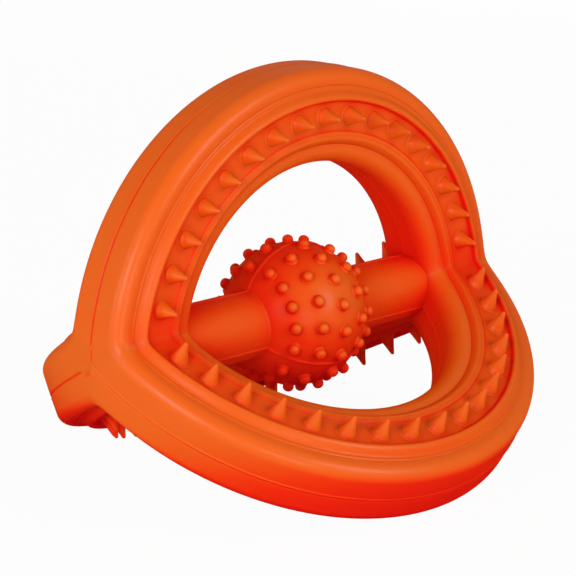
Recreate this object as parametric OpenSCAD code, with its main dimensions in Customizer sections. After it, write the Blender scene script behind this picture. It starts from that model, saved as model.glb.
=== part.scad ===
// Solid rubber chew toy: three toothed half rings round a bar with a studded ball.
// The bar lies along X. One half ring stands up and the other two slope down, 120 degrees apart,
// so the toy stands on the cones of its two lower half rings. The ground is at Z = 0.

/* [Half rings] */
// Radius of the smooth outer band of each half ring
ring_r = 75.4; // [70:0.1:84]
// Width of a half ring, from its window to its outer band
ring_w = 27.2; // [25:0.1:30]
// Distance from the bar's axis back to the centre of the half rings' circles
centre_drop = 2.7; // [0:0.1:5]
// Distance from a half ring's middle plane to its smooth side face
side_h = 9.8; // [9:0.1:13]
// Radius of the rounded shoulders between the side faces and the outer band
shoulder_r = 3.9; // [3:0.1:4.5]
// Radius of the rounded shoulders between the side faces and the window
window_shoulder_r = 5; // [3:0.1:5.5]

/* [Tooth tracks] */
// Width of the flat strip between the outer shoulder and the track's outer foot
edge_gap = 1.3; // [0.5:0.1:2.5]
// Width of the flat strip between the inner shoulder and the track's inner foot
foot_gap = 0.5; // [0.2:0.1:2]
// Width of the small step at each foot of the track
step_w = 0.3; // [0.1:0.05:0.5]
// Height of the small step at each foot of the track
step_h = 0.5; // [0.2:0.05:0.7]
// Height of the channel floor above the side face
floor_rise = 1.2; // [1:0.05:1.6]
// Distance from the track's outer foot in to the middle of the rim bead
rim_inset = 3; // [2.2:0.1:3.5]
// Radius of the outer rim bead's own section
rim_bead_r = 1.1; // [0.8:0.05:1.3]
// Height of the rim bead's centre above the side face
rim_rise = 1.6; // [1.2:0.05:1.7]
// Distance from the track's inner foot out to the middle of the lip bead
lip_inset = 3.1; // [1.8:0.1:3.2]
// Radius of the inner lip bead's own section
lip_bead_r = 0.9; // [0.7:0.05:1.1]
// Height of the lip bead's centre above the side face
lip_rise = 1; // [1:0.05:1.4]

/* [Cones] */
// Number of cones along each track
cone_count = 17; // [9:1:18]
// Angle between neighbouring cones
cone_turn = 9.25; // [7:0.05:9.4]
// Radius of a cone at its base
cone_base_r = 2.6; // [2:0.1:3]
// Height of a cone above the channel floor
cone_h = 6.2; // [5:0.1:10]
// Radius of the rounded tip of a cone
cone_tip_r = 0.6; // [0.3:0.05:1]

/* [Ball and bar] */
// Radius of the ball
ball_r = 20.9; // [18:0.1:26]
// Radius of the bar that carries the ball
bar_r = 9.7; // [7:0.1:12]

/* [Studs] */
// Radius of a stud
stud_r = 1.6; // [1.2:0.1:2]
// Height of a stud above the ball
stud_h = 2.2; // [2.1:0.1:4]
// Angle between neighbouring rows of studs, measured along the bar
stud_row_turn = 21; // [18:0.5:21.5]
// Studs in the middle row of one third of the ball
stud_mid_count = 6; // [3:1:6]
// Studs in each other row of one third of the ball
stud_side_count = 5; // [2:1:5]
// Angle between neighbouring studs of the middle row
stud_mid_turn = 20.5; // [18:0.5:21]
// Angle between neighbouring studs of the other rows
stud_side_turn = 22.3; // [18:0.1:24]

/* [Mould marks] */
// Height of the ridge that the mould's joint leaves
flash_h = 0.2; // [0.1:0.05:0.4]
// Width of that ridge at its foot
flash_w = 0.9; // [0.5:0.05:1.5]

/* [Colour] */
// Colour of the rubber
rubber_colour = "#e8480f"; // [#e8480f, #c92a1c, #f0a01e, #2f8f4e, #2466b0, #2b2b2b]

/* [Hidden] */
// Sides drawn on large round shapes, and on the many small ones
$fn = 96;
small_fn = 24;
// Turn about the bar from one half ring to the next, and the slope of the two lower ones
sector_turn = 120;
lower_slope = sector_turn - 90;
front_turn = sector_turn;
rear_turn = 2 * sector_turn;
// Radii of the window and of the two feet of the track
window_r = ring_r - ring_w;
track_out_r = ring_r - shoulder_r - edge_gap;
track_in_r = window_r + window_shoulder_r + foot_gap;
// Radii of the circles that the beads follow, and of the one midway in the channel for the cones
rim_line_r = track_out_r - rim_inset;
lip_line_r = track_in_r + lip_inset;
channel_out_r = rim_line_r - rim_bead_r;
channel_in_r = lip_line_r + lip_bead_r;
cone_line_r = (channel_out_r + channel_in_r) / 2;
// Heights above a half ring's middle plane
floor_h = side_h + floor_rise;
rim_h = side_h + rim_rise;
lip_h = side_h + lip_rise;
// How far out from a bead's centre, and up, the line of the track's slope ends inside the bead
rim_root = rim_bead_r / 2;
lip_root = lip_bead_r / 2;
// Cone flank: the line from the base circle that touches the tip's ball
tip_centre_h = cone_h - cone_tip_r;
flank_length = sqrt(pow(cone_base_r, 2) + pow(tip_centre_h, 2) - pow(cone_tip_r, 2));
flank_angle = atan2(tip_centre_h, cone_base_r) + atan2(cone_tip_r, flank_length);
flank_top_h = flank_length * sin(flank_angle);
flank_top_r = cone_base_r - flank_length * cos(flank_angle);
// Turn from the crown of a half ring to the cone nearest to it
crown_turn = cone_count % 2 == 0 ? cone_turn / 2 : 0;
// Drops from the bar's axis to the lowest cone tip, shoulder and rim bead
cone_drop = sin(lower_slope) * (cone_line_r * cos(crown_turn) - centre_drop)
    + cos(lower_slope) * (floor_h + tip_centre_h) + cone_tip_r;
shoulder_drop = sin(lower_slope) * (ring_r - shoulder_r - centre_drop)
    + cos(lower_slope) * (side_h - shoulder_r) + shoulder_r;
rim_drop = sin(lower_slope) * (rim_line_r - centre_drop) + cos(lower_slope) * rim_h + rim_bead_r;
// Height of the bar's axis above the ground
axis_z = max(cone_drop, shoulder_drop, rim_drop);
// Length of a cut that reaches past the whole toy
reach = 2 * ring_r;
// Middle of a half ring's wall
wall_mid_r = (ring_r + window_r) / 2;
// Where the bar's blank ends, inside the solid ends of the toy
bar_blank = wall_mid_r;
// Row angles of the studs from the middle of the ball, and how far each row is turned off centre
stud_rows = [for (i = [-2 : 2]) i * stud_row_turn];
stud_row_offset = [3, 3.5, 1, 4, 2.5];
// Where a stud's cylinder starts, just inside the ball, and where its round top starts
stud_root_h = sqrt(pow(ball_r, 2) - pow(stud_r, 2)) - flash_h;
stud_top_h = ball_r + stud_h - stud_r;

// Turns its children to one half ring and lifts them from the bar's axis to their height
module at_turn(turn) {
    translate([0, 0, axis_z]) rotate([turn, 0, 0]) children();
}

// The third of space that belongs to a half ring, up to the mitres with its neighbours
module sector() {
    half_w = reach * tan(sector_turn / 2);
    rotate([90, 0, 90]) linear_extrude(height = 2 * reach, center = true)
        polygon([[0, 0], [half_w, reach], [-half_w, reach]]);
}

// Sweeps a section round a centre on Z; its y is the distance in front of the middle plane
module swept(drop) {
    intersection() {
        translate([0, 0, -drop]) rotate([90, 0, 0]) rotate_extrude() children();
        sector();
    }
}

// Ridge of the mould's joint on a surface of radius r, pointing out (1) or in (-1)
module flash_section(r, way) {
    translate([r, 0]) rotate(way > 0 ? 0 : 180)
        polygon([[-flash_w, -flash_w / 2], [0, -flash_w / 2], [flash_h, 0], [0, flash_w / 2],
            [-flash_w, flash_w / 2]]);
}

// Section of a half ring: a block with four round shoulders and a ridge on each band
module ring_section() {
    flat_w = ring_r - shoulder_r - window_r - window_shoulder_r;
    translate([window_r, -side_h + window_shoulder_r])
        square([wall_mid_r - window_r, 2 * (side_h - window_shoulder_r)]);
    translate([wall_mid_r, -side_h + shoulder_r])
        square([ring_r - wall_mid_r, 2 * (side_h - shoulder_r)]);
    translate([window_r + window_shoulder_r, -side_h]) square([flat_w, 2 * side_h]);
    for (h = [-1, 1]) {
        translate([window_r + window_shoulder_r, h * (side_h - window_shoulder_r)])
            circle(r = window_shoulder_r);
        translate([ring_r - shoulder_r, h * (side_h - shoulder_r)]) circle(r = shoulder_r);
    }
    flash_section(ring_r, 1);
    flash_section(window_r, -1);
}

// One half ring, in the X-Z plane, with the sockets that its share of the bar's two ends fills
module ring_body() {
    difference() {
        swept(centre_drop) ring_section();
        for (way = [-1, 1]) bar_blank_body(way);
    }
}

// Section of the raised track on the side that faces -Y
module track_section() {
    polygon([
        [track_in_r, side_h],
        [track_out_r, side_h],
        [track_out_r - step_w, side_h + step_h],
        [rim_line_r + rim_root, rim_h + rim_root],
        [rim_line_r, floor_h],
        [lip_line_r, floor_h],
        [lip_line_r - lip_root, lip_h + lip_root],
        [track_in_r + step_w, side_h + step_h]
    ]);
    translate([rim_line_r, rim_h]) circle(r = rim_bead_r);
    translate([lip_line_r, lip_h]) circle(r = lip_bead_r);
}

// Raised track with its rim and lip; side 1 is the face towards -Y and side -1 the other
module track_body(side) {
    mirror([0, side < 0 ? 1 : 0, 0]) swept(centre_drop) track_section();
}

// One cone with a round tip, standing on Z = 0
module cone() {
    cylinder(h = flank_top_h, r1 = cone_base_r, r2 = flank_top_r, $fn = small_fn);
    translate([0, 0, tip_centre_h]) sphere(r = cone_tip_r, $fn = small_fn);
}

// The cones of one track, spread evenly about the crown
module cone_row(side) {
    translate([0, 0, -centre_drop]) mirror([0, side < 0 ? 1 : 0, 0])
        for (i = [0 : cone_count - 1]) {
            rotate([0, (i - (cone_count - 1) / 2) * cone_turn, 0])
                translate([0, -floor_h, cone_line_r]) rotate([90, 0, 0]) cone();
        }
}

// The bar's round core, from the middle of the ball towards one end
module bar_core(way) {
    rotate([0, way * 90, 0]) cylinder(h = bar_blank, r = bar_r);
}

// The core with the three ridges of the mould's joint
module bar_blank_body(way) {
    bar_core(way);
    rotate([0, way * 90, 0]) linear_extrude(height = bar_blank)
        for (turn = [0, front_turn, rear_turn]) rotate(turn + (way > 0 ? 180 : 0))
            flash_section(bar_r, 1);
}

// Ball with the three ridges of the mould's joint, which stop at the bar
module ball_body() {
    rotate([0, 90, 0]) sphere(r = ball_r);
    difference() {
        for (turn = [0, front_turn, rear_turn]) rotate([turn, 0, 0])
            swept(0) flash_section(ball_r, 1);
        for (way = [-1, 1]) bar_core(way);
    }
}

// The bar from the ball to one end of the toy; way is 1 to the right and -1 to the left
module bar_body(way) {
    difference() {
        bar_blank_body(way);
        ball_body();
    }
}

// One stud with a round top, along +Z, cut to the ball's surface
module stud() {
    difference() {
        union() {
            translate([0, 0, stud_root_h])
                cylinder(h = stud_top_h - stud_root_h, r = stud_r, $fn = small_fn);
            translate([0, 0, stud_top_h]) sphere(r = stud_r, $fn = small_fn);
        }
        sphere(r = ball_r);
    }
}

// The studs of one third of the ball, centred on +Z
module stud_group() {
    for (i = [0 : len(stud_rows) - 1]) {
        middle = stud_rows[i] == 0;
        count = middle ? stud_mid_count : stud_side_count;
        pitch = middle ? stud_mid_turn : stud_side_turn;
        for (j = [0 : count - 1])
            rotate([(j - (count - 1) / 2) * pitch + stud_row_offset[i], 0, 0])
                rotate([0, -stud_rows[i], 0]) stud();
    }
}

module upper_ring() {
    color(rubber_colour) at_turn(0) ring_body();
}

module front_ring() {
    color(rubber_colour) at_turn(front_turn) ring_body();
}

module rear_ring() {
    color(rubber_colour) at_turn(rear_turn) ring_body();
}

module upper_front_track() {
    color(rubber_colour) at_turn(0) track_body(1);
}

module upper_rear_track() {
    color(rubber_colour) at_turn(0) track_body(-1);
}

module front_top_track() {
    color(rubber_colour) at_turn(front_turn) track_body(-1);
}

module front_under_track() {
    color(rubber_colour) at_turn(front_turn) track_body(1);
}

module rear_top_track() {
    color(rubber_colour) at_turn(rear_turn) track_body(1);
}

module rear_under_track() {
    color(rubber_colour) at_turn(rear_turn) track_body(-1);
}

module upper_front_cones() {
    color(rubber_colour) at_turn(0) cone_row(1);
}

module upper_rear_cones() {
    color(rubber_colour) at_turn(0) cone_row(-1);
}

module front_top_cones() {
    color(rubber_colour) at_turn(front_turn) cone_row(-1);
}

module front_under_cones() {
    color(rubber_colour) at_turn(front_turn) cone_row(1);
}

module rear_top_cones() {
    color(rubber_colour) at_turn(rear_turn) cone_row(1);
}

module rear_under_cones() {
    color(rubber_colour) at_turn(rear_turn) cone_row(-1);
}

module left_bar() {
    color(rubber_colour) at_turn(0) bar_body(-1);
}

module right_bar() {
    color(rubber_colour) at_turn(0) bar_body(1);
}

module ball() {
    color(rubber_colour) at_turn(0) ball_body();
}

module front_studs() {
    color(rubber_colour) at_turn(sector_turn / 2) stud_group();
}

module under_studs() {
    color(rubber_colour) at_turn(front_turn + sector_turn / 2) stud_group();
}

module rear_studs() {
    color(rubber_colour) at_turn(rear_turn + sector_turn / 2) stud_group();
}

upper_ring();
front_ring();
rear_ring();
upper_front_track();
upper_rear_track();
front_top_track();
front_under_track();
rear_top_track();
rear_under_track();
upper_front_cones();
upper_rear_cones();
front_top_cones();
front_under_cones();
rear_top_cones();
rear_under_cones();
left_bar();
right_bar();
ball();
front_studs();
under_studs();
rear_studs();
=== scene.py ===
import math

import bpy
import numpy as np
from mathutils import Matrix, Vector


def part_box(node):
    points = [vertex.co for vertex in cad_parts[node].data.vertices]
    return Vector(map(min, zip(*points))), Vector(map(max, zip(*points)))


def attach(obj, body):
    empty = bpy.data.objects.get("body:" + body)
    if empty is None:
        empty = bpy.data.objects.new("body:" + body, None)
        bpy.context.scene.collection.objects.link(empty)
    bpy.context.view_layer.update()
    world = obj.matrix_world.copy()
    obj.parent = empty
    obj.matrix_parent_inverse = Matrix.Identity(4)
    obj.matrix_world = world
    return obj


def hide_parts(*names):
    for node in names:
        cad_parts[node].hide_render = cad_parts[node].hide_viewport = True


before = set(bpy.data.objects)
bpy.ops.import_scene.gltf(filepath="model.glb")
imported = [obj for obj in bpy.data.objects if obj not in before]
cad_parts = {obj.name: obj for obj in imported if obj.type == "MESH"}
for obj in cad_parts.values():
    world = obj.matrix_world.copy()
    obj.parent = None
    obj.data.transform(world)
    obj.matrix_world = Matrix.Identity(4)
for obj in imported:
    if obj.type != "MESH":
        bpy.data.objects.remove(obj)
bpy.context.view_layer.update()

# Lengths are in millimetres and become metres as a mesh is made
MM = 0.001

# The ball and the height of the bar's axis, as the frame has them
ball_low, ball_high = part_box("ball")
BALL_R = (ball_high.x - ball_low.x) / 2 / MM
AXIS_Z = ball_low.z / MM + BALL_R

# Half rings. CENTRE_DROP is how far the centre of a ring's circle lies on the far side of the bar's
# axis, and the frame's box reaches out to the CAD's own ridge on the outer band
CENTRE_DROP = 2.7
CAD_RIDGE_H = 0.2
ring_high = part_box("upper_ring")[1]
RING_R = math.hypot(ring_high.x / MM, CENTRE_DROP) - CAD_RIDGE_H
RING_W = 27.2
SIDE_H = 9.8
SHOULDER_R = 3.9
WINDOW_SHOULDER_R = 5.0
WINDOW_R = RING_R - RING_W
TURNS = {"upper": 0.0, "front": 120.0, "rear": 240.0}

# Angle between a half ring's middle plane and its mitres
SLOPE = math.radians(60)

# Rounding of the corner between two half rings. It begins at one distance from the middle plane and
# has its full size from the other one on
RING_CORNER = 2.5
TRACK_CORNER = 1.3
CORNER_START_H = 0.8
CORNER_FULL_H = 5.0

# Tooth tracks, one on each face of a half ring. Side 1 is the face towards -Y before the ring is turned
EDGE_GAP = 1.3
FOOT_GAP = 0.5
RIM_INSET = 3.0
RIM_R = 1.1
LIP_INSET = 3.1
LIP_R = 0.9
FLOOR_RISE = 1.2
FLOOR_H = SIDE_H + FLOOR_RISE
TRACK_OUT = RING_R - SHOULDER_R - EDGE_GAP
TRACK_IN = WINDOW_R + WINDOW_SHOULDER_R + FOOT_GAP
RIM_LINE = TRACK_OUT - RIM_INSET
LIP_LINE = TRACK_IN + LIP_INSET
CONE_LINE = (RIM_LINE - RIM_R + LIP_LINE + LIP_R) / 2
SIDES = {
    "upper_front": ("upper", 1), "upper_rear": ("upper", -1),
    "front_top": ("front", -1), "front_under": ("front", 1),
    "rear_top": ("rear", 1), "rear_under": ("rear", -1),
}

# Mould joints on the half rings: grooves and raised lines, whose sides fade over a width. A value that
# ends in H is a distance in front of the middle plane, and past the reach there is no joint
JOINT_W = 0.3
JOINT_REACH = 2.65
INNER_GROOVE = 0.4
FRONT_LINE = 0.18
FRONT_GROOVE = 0.12
FRONT_GROOVE_H = 0.55
FRONT_GROOVE_W = 0.25
OUTER_LINE = 0.1
OUTER_LINE_H = -0.5
OUTER_GROOVE = 0.35
OUTER_GROOVE_W = 0.28

# The upper and rear joints begin with an offset dash at the left end and grow faint further along.
# These stretches are measured along the band from its left end
DASH_START = (0.6, 1.3)
DASH_END = (4.0, 5.0)
DASH_GAP = 4.6
FADE = (62.0, 88.0)
FADE_SHARE = 0.8

# Where a joint and its dash lie in front of the middle plane, and the width of the gap between them
DASHED_JOINTS = {"upper": (0.0, 0.5, 0.5), "rear": (-0.8, -2.0, 0.8)}

# Cones
CONE_COUNT = 17
CONE_TURN = math.radians(9.25)
CONE_R = 2.6
CONE_H = 6.2
CONE_TIP = 0.6
CONE_HOLLOW = 0.1

# Bar, with its root at the ball and its flare at the window. The sink is how far both of these reach
# below the surface, and the core how far inside the ball and the rings the bar is closed
BAR_R = 9.7
ROOT_R = 0.8
FLARE_R = 0.5
BAR_SINK = 0.15
BAR_CORE = 4.0

# Ridges along ball and bar. The ball's ridge ends where the bar begins
BALL_RIDGE_H = 0.5
BALL_RIDGE_W = 0.34
RIDGE_END_IN = 0.5
RIDGE_END_OUT = 2.0
BAR_RIDGE_H = 0.42
BAR_RIDGE_W = 0.32

# Studs. Turns, shifts and pitches are in degrees, and a row has its count of studs and their pitch
STUD_R = 1.6
STUD_H = 2.2
STUD_DOME_H = 1.4
STUD_SINK = 1.0
STUD_ROW_TURN = 21.0
STUD_ROW_SHIFT = [3, 3.5, 1, 4, 2.5]
STUD_MID = (6, 20.5)
STUD_SIDE = (5, 22.3)
STUD_GROUPS = {"front_studs": 60.0, "under_studs": 180.0, "rear_studs": 300.0}

# Steps of the meshes, and the angle from which an edge is shown sharp
SWEEP_STEPS = 240
SHOULDER_STEPS = 14
FLAT_STEPS = 9
CONE_SEGMENTS = 28
CONE_FLANK_ROWS = 9
STUD_SEGMENTS = 22
BALL_THIRD_STEPS = 84
BALL_LONG_STEPS = 96
BAR_THIRD_STEPS = 60
BAR_ROOT_STEPS = 8
BAR_LONG_STEPS = 23
BAR_FLARE_STEPS = 9
SHARP_ANGLE = math.radians(62)

# Rubber, as lit and shaded copies of one material. A lift makes a piece count as more open, for less
# painted shade, or with a minus sign as more hollow, for more painted shade, than it is. The front half
# ring has the low one, and the core is ball and bar
RING_SHADE_LIFT = -0.02
LOW_SHADE_LIFT = 0.08
TRACK_SHADE_LIFT = -0.02
CONE_SHADE_LIFT = 0.22
STUD_SHADE_LIFT = 0.12
CORE_SHADE_LIFT = 0.04

# Colours of the rubber from a deep hollow to an open face, with the openness where each is reached; the
# darker, redder ones paint shade into hollows. A share of a slow drift is added to the openness
SHADED_RUBBER_COLOURS = [
    (0.3, (0.66, 0.004, 0.004, 1)),
    (0.72, (0.81, 0.024, 0.004, 1)),
    (1.0, (0.76, 0.125, 0.006, 1)),
]
DRIFT_SHARE = 0.12

# Floor and lamps, in metres and watts. A lamp has its azimuth, elevation, distance, size and power
FLOOR_HALF = 6.0
FLOOR_TINT = 0.9
FLOOR_WHITE_SHARE = 0.96
LAMPS = {
    "key": (-66, 19, 1.3, 0.45, 6.9),
    "front": (14, 27, 1.3, 0.45, 5.8),
    "low_front": (-25, 6, 1.3, 0.24, 2.4),
    "left_fill": (-105, 15, 1.3, 0.6, 3.2),
    "back_fill": (125, 14, 1.5, 0.9, 5.0),
}

# Camera, fitted to the photograph's outlines: its place from the ball's centre and its angles
CAMERA_PLACE = (-399.237, -408.117, 164.642)
CAMERA_TURN = -44.2
CAMERA_DOWN = 15.39
CAMERA_ROLL = 0.989
CAMERA_LENS = 128.065
CAMERA_SENSOR = 36.0
CAMERA_NEAR = 10


def turned(points, degrees):
    """Points turned about the bar's axis and lifted with it to its height."""
    turn = math.radians(degrees)
    c, s = math.cos(turn), math.sin(turn)
    matrix = np.array([[1, 0, 0], [0, c, -s], [0, s, c]])
    return points @ matrix.T + np.array([0, 0, AXIS_Z])


def add_object(name, data):
    """A new object in the scene's own collection."""
    made = bpy.data.objects.new(name, data)
    bpy.context.scene.collection.objects.link(made)
    return made


def make_piece(name, points, faces, node_name, material):
    """One smooth-shaded mesh that rides on the toy and stands for a CAD node."""
    mesh = bpy.data.meshes.new(name)
    mesh.from_pydata([tuple(p) for p in points * MM], [], [tuple(f) for f in faces])
    mesh.validate()
    mesh.polygons.foreach_set("use_smooth", [True] * len(mesh.polygons))
    mesh.set_sharp_from_angle(angle=SHARP_ANGLE)
    mesh.materials.append(material)
    piece = add_object(name, mesh)
    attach(piece, "root")
    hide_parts(node_name)


def arc(centre, radius, start, end, steps):
    """Points on a round stretch of a section, from one angle to another in degrees."""
    angles = np.radians(np.linspace(start, end, steps + 1))
    return [(centre[0] + radius * math.cos(a), centre[1] + radius * math.sin(a)) for a in angles]


def bump(x, width):
    """A bell curve that is 1 at 0 and fades over the width."""
    return np.exp(-(x / width) ** 2)


def smooth(x, low, high):
    """A smooth step from 0 at the low end to 1 at the high one."""
    t = np.clip((x - low) / (high - low), 0, 1)
    return t * t * (3 - 2 * t)


def cosine_steps(count):
    """Shares from 0 to 1 that lie closest together at the two ends."""
    return (1 - np.cos(np.pi * np.linspace(0, 1, count + 1))) / 2


def sweep(section, corner_size, lift=None):
    """Grid of points of a section (r, h) swept round a half ring's centre between its two mitres.

    h is the distance in front of the middle plane. Near a mitre each point moves towards it, so that
    two neighbours meet in one rounded corner. lift says how far a point's radius stands out."""
    share = cosine_steps(SWEEP_STEPS)
    rows = []
    for r, h in section:
        side = 1.0 if h >= 0 else -1.0
        corner = corner_size * smooth(abs(h), CORNER_START_H, CORNER_FULL_H)
        height = (corner + abs(h) * math.cos(SLOPE)) / math.sin(SLOPE)
        start = math.asin((height + CENTRE_DROP) / r)
        phi = start + (math.pi - 2 * start) * share
        radius = r + (lift(r, h, phi) if lift else 0)
        x = radius * np.cos(phi)
        y = np.full_like(phi, -h)
        z = radius * np.sin(phi) - CENTRE_DROP
        normal_y, normal_z = side * math.cos(SLOPE), math.sin(SLOPE)
        away = y * normal_y + z * normal_z
        nearer = np.sqrt(np.maximum(away ** 2 - corner ** 2, 0))
        rows.append(np.stack([x, y + normal_y * (nearer - away), z + normal_z * (nearer - away)], 1))
    return np.stack(rows)


def grid_faces(rows, columns):
    """Four-sided faces between neighbouring points of a grid whose last row joins its first."""
    faces = []
    for j in range(rows):
        a = j * columns
        b = (j + 1) % rows * columns
        for i in range(columns - 1):
            faces.append((a + i, b + i, b + i + 1, a + i + 1))
    return faces


def reversed_faces(faces):
    """The same faces seen from their other side."""
    return [tuple(reversed(face)) for face in faces]


def inner_joint(h):
    """Mould joint on the window side of a half ring: a groove."""
    return -INNER_GROOVE * bump(h, JOINT_W)


def front_joint(h):
    """Mould joint on the front half ring's outer band: a raised line with a groove beside it."""
    return FRONT_LINE * bump(h, JOINT_W) - FRONT_GROOVE * bump(h - FRONT_GROOVE_H, FRONT_GROOVE_W)


def dashed_joint(name, h, to_left):
    """Mould joint on another outer band: a groove with a dash at its left end and a line beside it."""
    joint_h, dash_h, gap_w = DASHED_JOINTS[name]
    in_dash = 1 - smooth(to_left, *DASH_END)
    groove_h = joint_h + (dash_h - joint_h) * in_dash
    depth = OUTER_GROOVE * smooth(to_left, *DASH_START)
    depth = depth * (1 - bump(to_left - DASH_GAP, gap_w)) * (1 - FADE_SHARE * smooth(to_left, *FADE))
    line = OUTER_LINE * bump(h - joint_h - OUTER_LINE_H, JOINT_W)
    return line - depth * bump(h - groove_h, OUTER_GROOVE_W)


def joint_lift(name):
    """How far the mould joints of one half ring make its bands stand out."""
    def lift(r, h, phi):
        level = np.zeros_like(phi)
        if abs(h) > JOINT_REACH:
            return level
        if r < (RING_R + WINDOW_R) / 2:
            return level + inner_joint(h)
        if name == "front":
            return level + front_joint(h)
        to_left = (math.pi - phi - math.asin(CENTRE_DROP / RING_R)) * RING_R
        return dashed_joint(name, h, to_left)
    return lift


def ring_section():
    """Half ring's section: the half from the outer joint to the inner one, and the whole.

    The rows on both bands lie closest together where a joint or a dash runs."""
    joint_rows = [0, 0.15, 0.3, 0.45, 0.6, 0.75, 0.9, 1.1, 1.4]
    dash_rows = [1.7, 1.85, 2.0, 2.15, 2.4, 2.7]
    plain_rows = [3.4, 4.1, 4.6]
    band_rows = joint_rows + dash_rows + plain_rows
    centre_out, centre_in = RING_R - SHOULDER_R, WINDOW_R + WINDOW_SHOULDER_R
    half = [(RING_R, h) for h in band_rows]
    half += arc((centre_out, SIDE_H - SHOULDER_R), SHOULDER_R, 0, 90, SHOULDER_STEPS)
    half += [(r, SIDE_H) for r in np.linspace(centre_out, centre_in, FLAT_STEPS + 1)[1:-1]]
    half += arc((centre_in, SIDE_H - WINDOW_SHOULDER_R), WINDOW_SHOULDER_R, 90, 180, SHOULDER_STEPS)
    half += [(WINDOW_R, h) for h in reversed(band_rows)]
    other = [(r, -h) for r, h in half[-2:0:-1]]
    return half, half + other


def mitre_cap(grid, end, count, first, flip):
    """Points and faces that close one end of a half ring along its two mitres.

    count is the number of rows from the outer joint to the inner one, and first the new points' first
    index."""
    rows, columns = grid.shape[:2]
    share = np.linspace(0, 1, count)[1:-1, None]
    points = grid[0, end] * (1 - share) + grid[count - 1, end] * share
    axis = [end] + [first + j for j in range(count - 2)] + [(count - 1) * columns + end]
    faces = []
    for side in (1, -1):
        edge = [((side * j) % rows) * columns + end for j in range(count)]
        for j in range(count - 1):
            face = [edge[j], edge[j + 1], axis[j + 1], axis[j]]
            face = [v for k, v in enumerate(face) if v not in face[:k]]
            if (side < 0) != flip:
                face.reverse()
            faces.append(face)
    return points, faces


def capped_ring(name, material):
    """One half ring's skin, closed at both ends by flat faces on its mitres."""
    half, section = ring_section()
    grid = sweep(section, RING_CORNER, joint_lift(name))
    rows, columns = grid.shape[:2]
    points = grid.reshape(-1, 3)
    faces = grid_faces(rows, columns)
    for end, flip in ((0, False), (columns - 1, True)):
        cap_points, cap_faces = mitre_cap(grid, end, len(half), len(points), flip)
        points = np.concatenate([points, cap_points])
        faces += cap_faces
    make_piece(name + "_ring_skin", turned(points, TURNS[name]), faces, name + "_ring", material)


def track_section():
    """Raised track's section: a small step, the rim, the channel and the lip with its two edges.

    Points on the outer side are measured from the track's outer foot, those of the lip from its inner
    foot, and all heights from the side face."""
    step = [(0.5, -0.3), (0.42, -0.12), (0.2, 0.2), (-0.1, 0.38), (-0.4, 0.42), (-0.65, 0.42)]
    slope = [(-0.95, 0.55), (-1.35, 0.98), (-1.8, 1.55), (-2.25, 2.05), (-2.7, 2.4), (-3.1, 2.55)]
    rim = [(-3.45, 2.52), (-3.75, 2.35), (-3.98, 2.05), (-4.12, 1.7), (-4.25, 1.38)]
    channel = [(-4.5, 1.2), (-5.0, 1.14), (-6.5, 1.1), (-8.2, 1.08), (-10.0, 1.1)]
    upper_edge = [(4.6, 1.1), (4.2, 1.14), (3.95, 1.3), (3.75, 1.5), (3.5, 1.58), (3.2, 1.54)]
    lower_edge = [(2.85, 1.56), (2.5, 1.7), (2.2, 1.78), (1.9, 1.76), (1.5, 1.55)]
    inner_foot = [(1.0, 1.1), (0.5, 0.55), (0.1, 0.1), (-0.1, -0.3)]
    outer = [(TRACK_OUT + r, SIDE_H + h) for r, h in step + slope + rim + channel]
    inner = [(TRACK_IN + r, SIDE_H + h) for r, h in upper_edge + lower_edge + inner_foot]
    return outer + inner


def capped_track(name, material):
    """One raised track's skin, closed at both mitres."""
    ring, side = SIDES[name]
    grid = sweep([(r, side * h) for r, h in track_section()], TRACK_CORNER)
    rows, columns = grid.shape[:2]
    first = [j * columns for j in range(rows)]
    last = [j * columns + columns - 1 for j in range(rows)]
    faces = grid_faces(rows, columns) + [first[::-1], last]
    if side < 0:
        faces = reversed_faces(faces)
    points = turned(grid.reshape(-1, 3), TURNS[ring])
    make_piece(name + "_track_skin", points, faces, name + "_track", material)


def revolve(profile, segments):
    """Points and faces of a profile (radius, height) turned about Z; a radius of 0 closes an end."""
    points, faces, rings = [], [], []
    for radius, height in profile:
        if radius == 0:
            rings.append([len(points)])
            points.append((0, 0, height))
            continue
        ring = []
        for k in range(segments):
            a = 2 * math.pi * k / segments
            ring.append(len(points))
            points.append((radius * math.cos(a), radius * math.sin(a), height))
        rings.append(ring)
    for low, high in zip(rings, rings[1:]):
        for k in range(segments):
            n = (k + 1) % segments
            if len(low) == 1:
                faces.append((low[0], high[n], high[k]))
            elif len(high) == 1:
                faces.append((low[k], low[n], high[0]))
            else:
                faces.append((low[k], low[n], high[n], high[k]))
    return np.array(points, float), faces


def many(points, faces, matrices):
    """The same small solid at many places, as one mesh."""
    all_points, all_faces = [], []
    for k, matrix in enumerate(matrices):
        first = k * len(points)
        all_points.append(points @ matrix[:3, :3].T + matrix[:3, 3])
        all_faces += [tuple(v + first for v in face) for face in faces]
    return np.concatenate(all_points), all_faces


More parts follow.
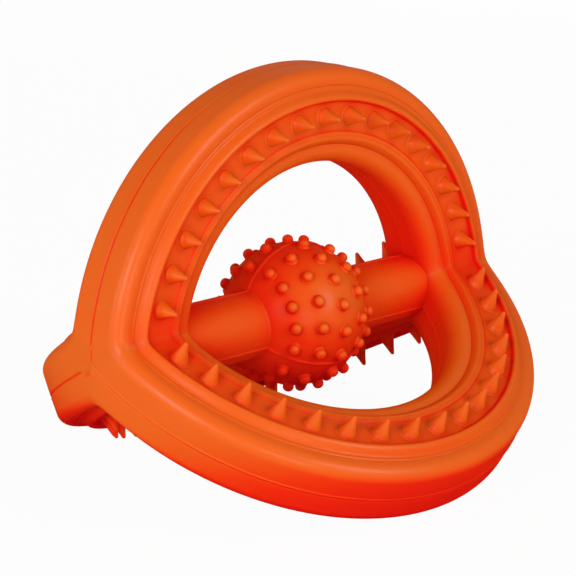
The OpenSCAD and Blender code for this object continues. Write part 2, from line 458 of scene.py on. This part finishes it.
def cone_profile():
    """A cone with a round tip, a slightly hollow flank, a small root and a fine ring round its foot.

    Points of the ring and the root are measured out from the foot and up from the channel floor."""
    ring = [(0.62, -0.5), (0.6, -0.16), (0.54, -0.06), (0.46, -0.02), (0.38, -0.04), (0.3, -0.1)]
    root = [(0.16, -0.08), (0.06, 0.06), (-0.04, 0.3), (-0.16, 0.6)]
    flank_shares = np.linspace(0.14, 0.98, CONE_FLANK_ROWS)
    tip_angles = np.radians([28, 45, 62, 78])
    foot = [(0, ring[0][1])] + [(CONE_R + r, h) for r, h in ring + root]
    centre = CONE_H - CONE_TIP
    to_centre = math.hypot(CONE_R, centre)
    angle = math.atan2(centre, CONE_R) + math.asin(CONE_TIP / to_centre)
    length = math.sqrt(to_centre ** 2 - CONE_TIP ** 2)
    body = []
    for share in flank_shares:
        hollow = CONE_HOLLOW * math.sin(math.pi * share)
        body.append((CONE_R - length * share * math.cos(angle) - hollow, length * share * math.sin(angle)))
    tip = [(CONE_TIP * math.cos(a), centre + CONE_TIP * math.sin(a)) for a in tip_angles]
    return foot + body + tip + [(0, CONE_H)]


def cone_row(name, material):
    """The cones of one track."""
    ring, side = SIDES[name]
    stand = np.array(Matrix.Rotation(math.radians(90), 4, "X"))
    matrices = []
    for k in range(CONE_COUNT):
        turn = (k - (CONE_COUNT - 1) / 2) * CONE_TURN
        place = np.array(Matrix.Rotation(turn, 4, "Y") @ Matrix.Translation((0, -FLOOR_H, CONE_LINE)))
        place[2, 3] -= CENTRE_DROP
        matrices.append(place @ stand)
    points, faces = many(*revolve(cone_profile(), CONE_SEGMENTS), matrices)
    if side < 0:
        points = points * np.array([1, -1, 1])
        faces = reversed_faces(faces)
    make_piece(name + "_cone_row", turned(points, TURNS[ring]), faces, name + "_cones", material)


def round_angles(third_steps):
    """Angles round the bar from the upper mould joint, closest together at all three joints."""
    crowding = 0.8
    share = np.arange(third_steps) / third_steps
    third = share - crowding * np.sin(2 * np.pi * share) / (2 * np.pi)
    return np.concatenate([(third + k) * 2 * math.pi / 3 for k in range(3)])


def from_joint(angles):
    """Angle from the nearest mould joint, with its sign."""
    third = 2 * math.pi / 3
    return (angles + third / 2) % third - third / 2


def about_bar(x, radius, angles):
    """Points at a distance from the bar's axis; angle 0 is up and a positive angle turns to -Y."""
    return np.stack([x, -radius * np.sin(angles), radius * np.cos(angles)], -1)


def end_fans(rows, columns, first_tip, last_tip):
    """Three-sided faces from a tip at each end of a grid to the first and the last point of its rows."""
    faces = []
    for j in range(rows):
        n = (j + 1) % rows
        faces.append((first_tip, n * columns, j * columns))
        faces.append((last_tip, j * columns + columns - 1, n * columns + columns - 1))
    return faces


def ball_skin(material):
    """The ball, with a fine ridge at each mould joint."""
    polar = np.radians(np.linspace(0, 180, BALL_LONG_STEPS + 1))[1:-1]
    a, p = np.meshgrid(round_angles(BALL_THIRD_STEPS), polar, indexing="ij")
    off = from_joint(a) * BALL_R * np.sin(p)
    fade = smooth(np.sin(p) * BALL_R, BAR_R - RIDGE_END_IN, BAR_R + RIDGE_END_OUT)
    radius = BALL_R + fade * BALL_RIDGE_H * bump(off, BALL_RIDGE_W)
    grid = about_bar(radius * np.cos(p), radius * np.sin(p), a)
    points = np.concatenate([grid.reshape(-1, 3), [[BALL_R, 0, 0], [-BALL_R, 0, 0]]])
    faces = grid_faces(*a.shape) + end_fans(*a.shape, a.size, a.size + 1)
    make_piece("ball_skin", turned(points, 0), faces, "ball", material)


def window_reach(radius, angles):
    """How far along the bar the window's surface lies, at a distance from the bar's axis."""
    off = np.abs(from_joint(angles))
    h, z = radius * np.sin(off), radius * np.cos(off)
    over = np.clip(h - (SIDE_H - WINDOW_SHOULDER_R), 0, WINDOW_SHOULDER_R)
    inner = WINDOW_R + WINDOW_SHOULDER_R - np.sqrt(WINDOW_SHOULDER_R ** 2 - over ** 2)
    return np.sqrt(inner ** 2 - (z + CENTRE_DROP) ** 2)


def bar_rings(angles):
    """Rings of points along the right side of the bar: root, straight stretch and flare."""
    ridge = BAR_RIDGE_H * bump(from_joint(angles) * BAR_R, BAR_RIDGE_W)
    rings = []
    for t in np.radians(np.linspace(90, 0, BAR_ROOT_STEPS + 1)):
        radius = BAR_R + ROOT_R * (1 - math.cos(t))
        x = math.sqrt(BALL_R ** 2 - radius ** 2) + ROOT_R * (1 - math.sin(t)) - BAR_SINK
        rings.append(about_bar(np.full_like(angles, x), radius + ridge, angles))
    start = math.sqrt(BALL_R ** 2 - BAR_R ** 2) + ROOT_R
    end = window_reach(BAR_R, angles) - FLARE_R
    for share in np.linspace(0, 1, BAR_LONG_STEPS + 1)[1:-1]:
        rings.append(about_bar(start + (end - start) * share, BAR_R + ridge, angles))
    for t in np.radians(np.linspace(0, 90, BAR_FLARE_STEPS + 1)):
        radius = BAR_R + FLARE_R * (1 - math.cos(t))
        x = window_reach(radius, angles) - FLARE_R * (1 - math.sin(t)) + BAR_SINK
        rings.append(about_bar(x, radius + ridge * math.cos(t), angles))
    tips = np.array([[start - BAR_CORE, 0, 0], [WINDOW_R + BAR_CORE, 0, 0]])
    return np.stack(rings, 1), tips


def bar_skin(name, way, material):
    """One side of the bar, the right one for a way of 1 and the left one for -1."""
    grid, tips = bar_rings(round_angles(BAR_THIRD_STEPS))
    rows, columns = grid.shape[:2]
    points = np.concatenate([grid.reshape(-1, 3), tips])
    faces = grid_faces(rows, columns) + end_fans(rows, columns, rows * columns, rows * columns + 1)
    if way < 0:
        points = points * np.array([-1, 1, 1])
    else:
        faces = reversed_faces(faces)
    make_piece(name + "_skin", turned(points, 0), faces, name, material)


def stud_profile():
    """A stud with a round top and a small root, whose points are measured from its side and the ball."""
    root = [(0.4, -STUD_SINK), (0.35, -0.1), (0.18, 0.04), (0.06, 0.2), (0, 0.45)]
    foot = [(0, -STUD_SINK)] + [(STUD_R + r, h) for r, h in root]
    straight = STUD_H - STUD_DOME_H
    top_angles = np.radians([0, 15, 30, 45, 60, 75])
    top = [(STUD_R * math.cos(a), straight + STUD_DOME_H * math.sin(a)) for a in top_angles]
    return [(r, BALL_R + h) for r, h in foot + top + [(0, STUD_H)]]


def stud_group(name, material):
    """The studs of one third of the ball."""
    matrices = []
    for i, shift in enumerate(STUD_ROW_SHIFT):
        row = (i - (len(STUD_ROW_SHIFT) - 1) / 2) * STUD_ROW_TURN
        count, pitch = STUD_MID if row == 0 else STUD_SIDE
        for j in range(count):
            round_bar = math.radians((j - (count - 1) / 2) * pitch + shift)
            along = math.radians(-row)
            matrices.append(np.array(Matrix.Rotation(round_bar, 4, "X") @ Matrix.Rotation(along, 4, "Y")))
    points, faces = many(*revolve(stud_profile(), STUD_SEGMENTS), matrices)
    make_piece(name + "_domes", turned(points, STUD_GROUPS[name]), faces, name, material)


def set_sockets(made, **values):
    """Set a node's own sockets; an underscore in a name stands for a space."""
    for key, value in values.items():
        made.inputs[key.replace("_", " ")].default_value = value


def node(tree, kind, x, y, **values):
    """A new node; a value named in_ and a socket goes to that socket, any other to the node itself."""
    made = tree.nodes.new(kind)
    made.location = (x, y)
    for key, value in values.items():
        if key.startswith("in_"):
            set_sockets(made, **{key[3:]: value})
        else:
            setattr(made, key, value)
    return made


def math_node(tree, operation, x, y, source, value):
    """A math node that works on a socket and a value."""
    made = node(tree, "ShaderNodeMath", x, y, operation=operation)
    tree.links.new(source, made.inputs[0])
    made.inputs[1].default_value = value
    return made


def mix_shaders(tree, share, first, second, target, x):
    """Two shaders mixed into a target socket; a share of 0 shows the first alone."""
    mix = node(tree, "ShaderNodeMixShader", x, 0)
    tree.links.new(share, mix.inputs[0])
    tree.links.new(first.outputs[0], mix.inputs[1])
    tree.links.new(second.outputs[0], mix.inputs[2])
    tree.links.new(mix.outputs[0], target)


def new_material(name):
    """A new material with its node tree and its shader."""
    material = bpy.data.materials.new(name)
    material.use_nodes = True
    tree = material.node_tree
    return material, tree, tree.nodes["Principled BSDF"]


def rubber_noise(tree):
    """Three sizes of unevenness: a slow drift of colour, a mottle of gloss and a fine grain."""
    place = node(tree, "ShaderNodeTexCoord", -1200, 0)
    drift = node(tree, "ShaderNodeTexNoise", -950, 250, in_Scale=22.0, in_Detail=3.0)
    mottle = node(tree, "ShaderNodeTexNoise", -950, 0, in_Scale=320.0, in_Detail=4.0)
    grain = node(tree, "ShaderNodeTexNoise", -950, -260, in_Scale=1500.0, in_Detail=2.0)
    for texture in (drift, mottle, grain):
        tree.links.new(place.outputs["Object"], texture.inputs["Vector"])
    return drift, mottle, grain


def rubber_openness(tree, lift):
    """How open a place is to the light round it, which sets the painted shade: less in a hollow, and more
    by the lift.
    """
    open_share = node(tree, "ShaderNodeAmbientOcclusion", -950, 500, samples=12, in_Distance=0.04)
    return math_node(tree, "ADD", -800, 550, open_share.outputs["AO"], lift)


def rubber_colour_and_painted_shade(tree, shader, openness, drift):
    """Orange on open faces, and redder and duller in hollows, where this is painted shade."""
    shade_and_drift = math_node(tree, "MULTIPLY_ADD", -700, 400, drift.outputs["Fac"], DRIFT_SHARE)
    tree.links.new(openness.outputs[0], shade_and_drift.inputs[2])
    # The ramp turns openness into colour: painted shade, darker and redder, in hollows
    ramp = node(tree, "ShaderNodeValToRGB", -450, 400)
    stops = ramp.color_ramp.elements
    stops.remove(stops[1])
    stops[0].position, stops[0].color = SHADED_RUBBER_COLOURS[0]
    for position, colour in SHADED_RUBBER_COLOURS[1:]:
        stops.new(position).color = colour
    tree.links.new(shade_and_drift.outputs[0], ramp.inputs["Fac"])
    tree.links.new(ramp.outputs["Color"], shader.inputs["Base Color"])


def rubber_finish(tree, shader, mottle, grain):
    """Uneven roughness and a fine relief, both for the rubber and for the gloss over it."""
    sheen = node(tree, "ShaderNodeMapRange", -650, -20, in_To_Min=0.28, in_To_Max=0.40)
    relief = node(tree, "ShaderNodeBump", -350, -260, in_Strength=0.18, in_Distance=0.0001)
    gloss = node(tree, "ShaderNodeBsdfAnisotropic", 0, -300, in_Color=(1, 1, 1, 1))
    tree.links.new(mottle.outputs["Fac"], sheen.inputs["Value"])
    tree.links.new(grain.outputs["Fac"], relief.inputs["Height"])
    for layer in (shader, gloss):
        tree.links.new(sheen.outputs["Result"], layer.inputs["Roughness"])
        tree.links.new(relief.outputs["Normal"], layer.inputs["Normal"])
    return gloss


def rubber(name, lift):
    """Satin moulded rubber, finely mottled, with painted shade in hollows and a thin gloss that is
    strongest on open faces.
    """
    material, tree, shader = new_material(name)
    set_sockets(shader, Subsurface_Weight=0.3, Subsurface_Radius=(1.0, 0.08, 0.02))
    set_sockets(shader, Subsurface_Scale=0.003, Specular_IOR_Level=0.0)
    drift, mottle, grain = rubber_noise(tree)
    openness = rubber_openness(tree, lift)
    rubber_colour_and_painted_shade(tree, shader, openness, drift)
    gloss = rubber_finish(tree, shader, mottle, grain)
    share = node(tree, "ShaderNodeMapRange", -100, 200, in_From_Min=0.7, in_To_Min=0.002, in_To_Max=0.017)
    tree.links.new(openness.outputs[0], share.inputs["Value"])
    surface = tree.nodes["Material Output"].inputs["Surface"]
    mix_shaders(tree, share.outputs["Result"], shader, gloss, surface, 300)
    return material


def seen_directly(tree):
    """Node that is 1 for rays from the camera, also by way of a mirror or through glass, and else 0."""
    path = node(tree, "ShaderNodeLightPath", -600, 300)
    camera_or_glossy = node(tree, "ShaderNodeMath", -400, 300, operation="MAXIMUM")
    seen = node(tree, "ShaderNodeMath", -200, 300, operation="MAXIMUM")
    tree.links.new(path.outputs["Is Camera Ray"], camera_or_glossy.inputs[0])
    tree.links.new(path.outputs["Is Glossy Ray"], camera_or_glossy.inputs[1])
    tree.links.new(camera_or_glossy.outputs[0], seen.inputs[0])
    tree.links.new(path.outputs["Is Transmission Ray"], seen.inputs[1])
    return seen


def pale_floor():
    """White for the camera by a share, and lit paint for the rest, so that the floor keeps a shadow."""
    material, tree, shader = new_material("pale_floor")
    set_sockets(shader, Base_Color=(FLOOR_TINT, FLOOR_TINT, FLOOR_TINT, 1), Roughness=0.9)
    glow = node(tree, "ShaderNodeEmission", 0, -200, in_Strength=1.0)
    seen = seen_directly(tree)
    weight = math_node(tree, "MULTIPLY", 200, 300, seen.outputs[0], FLOOR_WHITE_SHARE)
    surface = tree.nodes["Material Output"].inputs["Surface"]
    mix_shaders(tree, weight.outputs[0], shader, glow, surface, 400)
    return material


def studio_floor():
    """A wide pale floor under the toy."""
    mesh = bpy.data.meshes.new("floor")
    corners = [(x * FLOOR_HALF, y * FLOOR_HALF, 0) for x, y in ((-1, -1), (1, -1), (1, 1), (-1, 1))]
    mesh.from_pydata(corners, [], [(0, 1, 2, 3)])
    mesh.materials.append(pale_floor())
    add_object("floor", mesh)


def studio_world():
    """White where the camera looks past the floor, and a dim reddish light elsewhere."""
    world = bpy.data.worlds.new("studio")
    world.use_nodes = True
    tree = world.node_tree
    tree.nodes.clear()
    dim = node(tree, "ShaderNodeBackground", 0, 0, in_Strength=0.25, in_Color=(1, 0.5, 0.4, 1))
    white = node(tree, "ShaderNodeBackground", 0, -200, in_Strength=1.0, in_Color=(1, 1, 1, 1))
    out = node(tree, "ShaderNodeOutputWorld", 500, 0)
    mix_shaders(tree, seen_directly(tree).outputs[0], dim, white, out.inputs["Surface"], 300)
    bpy.context.scene.world = world


def soft_light(name, azimuth, elevation, distance, size, watts):
    """A square soft box that points at the ball; azimuth 0 is in front and 90 to the right."""
    a, e = math.radians(azimuth), math.radians(elevation)
    back = Vector((math.sin(a) * math.cos(e), -math.cos(a) * math.cos(e), math.sin(e)))
    data = bpy.data.lights.new(name, "AREA")
    data.shape = "SQUARE"
    data.size = size
    data.energy = watts
    light = add_object(name, data)
    light.location = Vector((0, 0, AXIS_Z * MM)) + back * distance
    light.rotation_euler = (-back).to_track_quat("-Z", "Y").to_euler()


def camera():
    """The photograph's own view of the toy."""
    data = bpy.data.cameras.new("camera")
    data.sensor_width = CAMERA_SENSOR
    data.lens = CAMERA_LENS
    data.clip_start = CAMERA_NEAR * MM
    data.dof.use_dof = False
    view = add_object("camera", data)
    turn, tilt, roll = (math.radians(a) for a in (CAMERA_TURN, 90 - CAMERA_DOWN, CAMERA_ROLL))
    place = Matrix.Translation((Vector(CAMERA_PLACE) + Vector((0, 0, AXIS_Z))) * MM)
    view.matrix_world = (place @ Matrix.Rotation(turn, 4, "Z") @ Matrix.Rotation(tilt, 4, "X")
                         @ Matrix.Rotation(roll, 4, "Z"))
    bpy.context.scene.camera = view


# Lit and shaded copies of one rubber: each differs only by its lift, which sets how much painted shade it
# gets
ring_rubber = rubber("ring_rubber", RING_SHADE_LIFT)
low_rubber = rubber("low_rubber", LOW_SHADE_LIFT)
track_rubber = rubber("track_rubber", TRACK_SHADE_LIFT)
cone_rubber = rubber("cone_rubber", CONE_SHADE_LIFT)
stud_rubber = rubber("stud_rubber", STUD_SHADE_LIFT)
core_rubber = rubber("core_rubber", CORE_SHADE_LIFT)
for ring_name in TURNS:
    capped_ring(ring_name, low_rubber if ring_name == "front" else ring_rubber)
for side_name in SIDES:
    capped_track(side_name, track_rubber)
    cone_row(side_name, cone_rubber)
ball_skin(core_rubber)
bar_skin("right_bar", 1, core_rubber)
bar_skin("left_bar", -1, core_rubber)
for group_name in STUD_GROUPS:
    stud_group(group_name, stud_rubber)

studio_floor()
studio_world()
for lamp_name, lamp in LAMPS.items():
    soft_light(lamp_name, *lamp)
camera()
bpy.context.scene.view_settings.view_transform = "Standard"
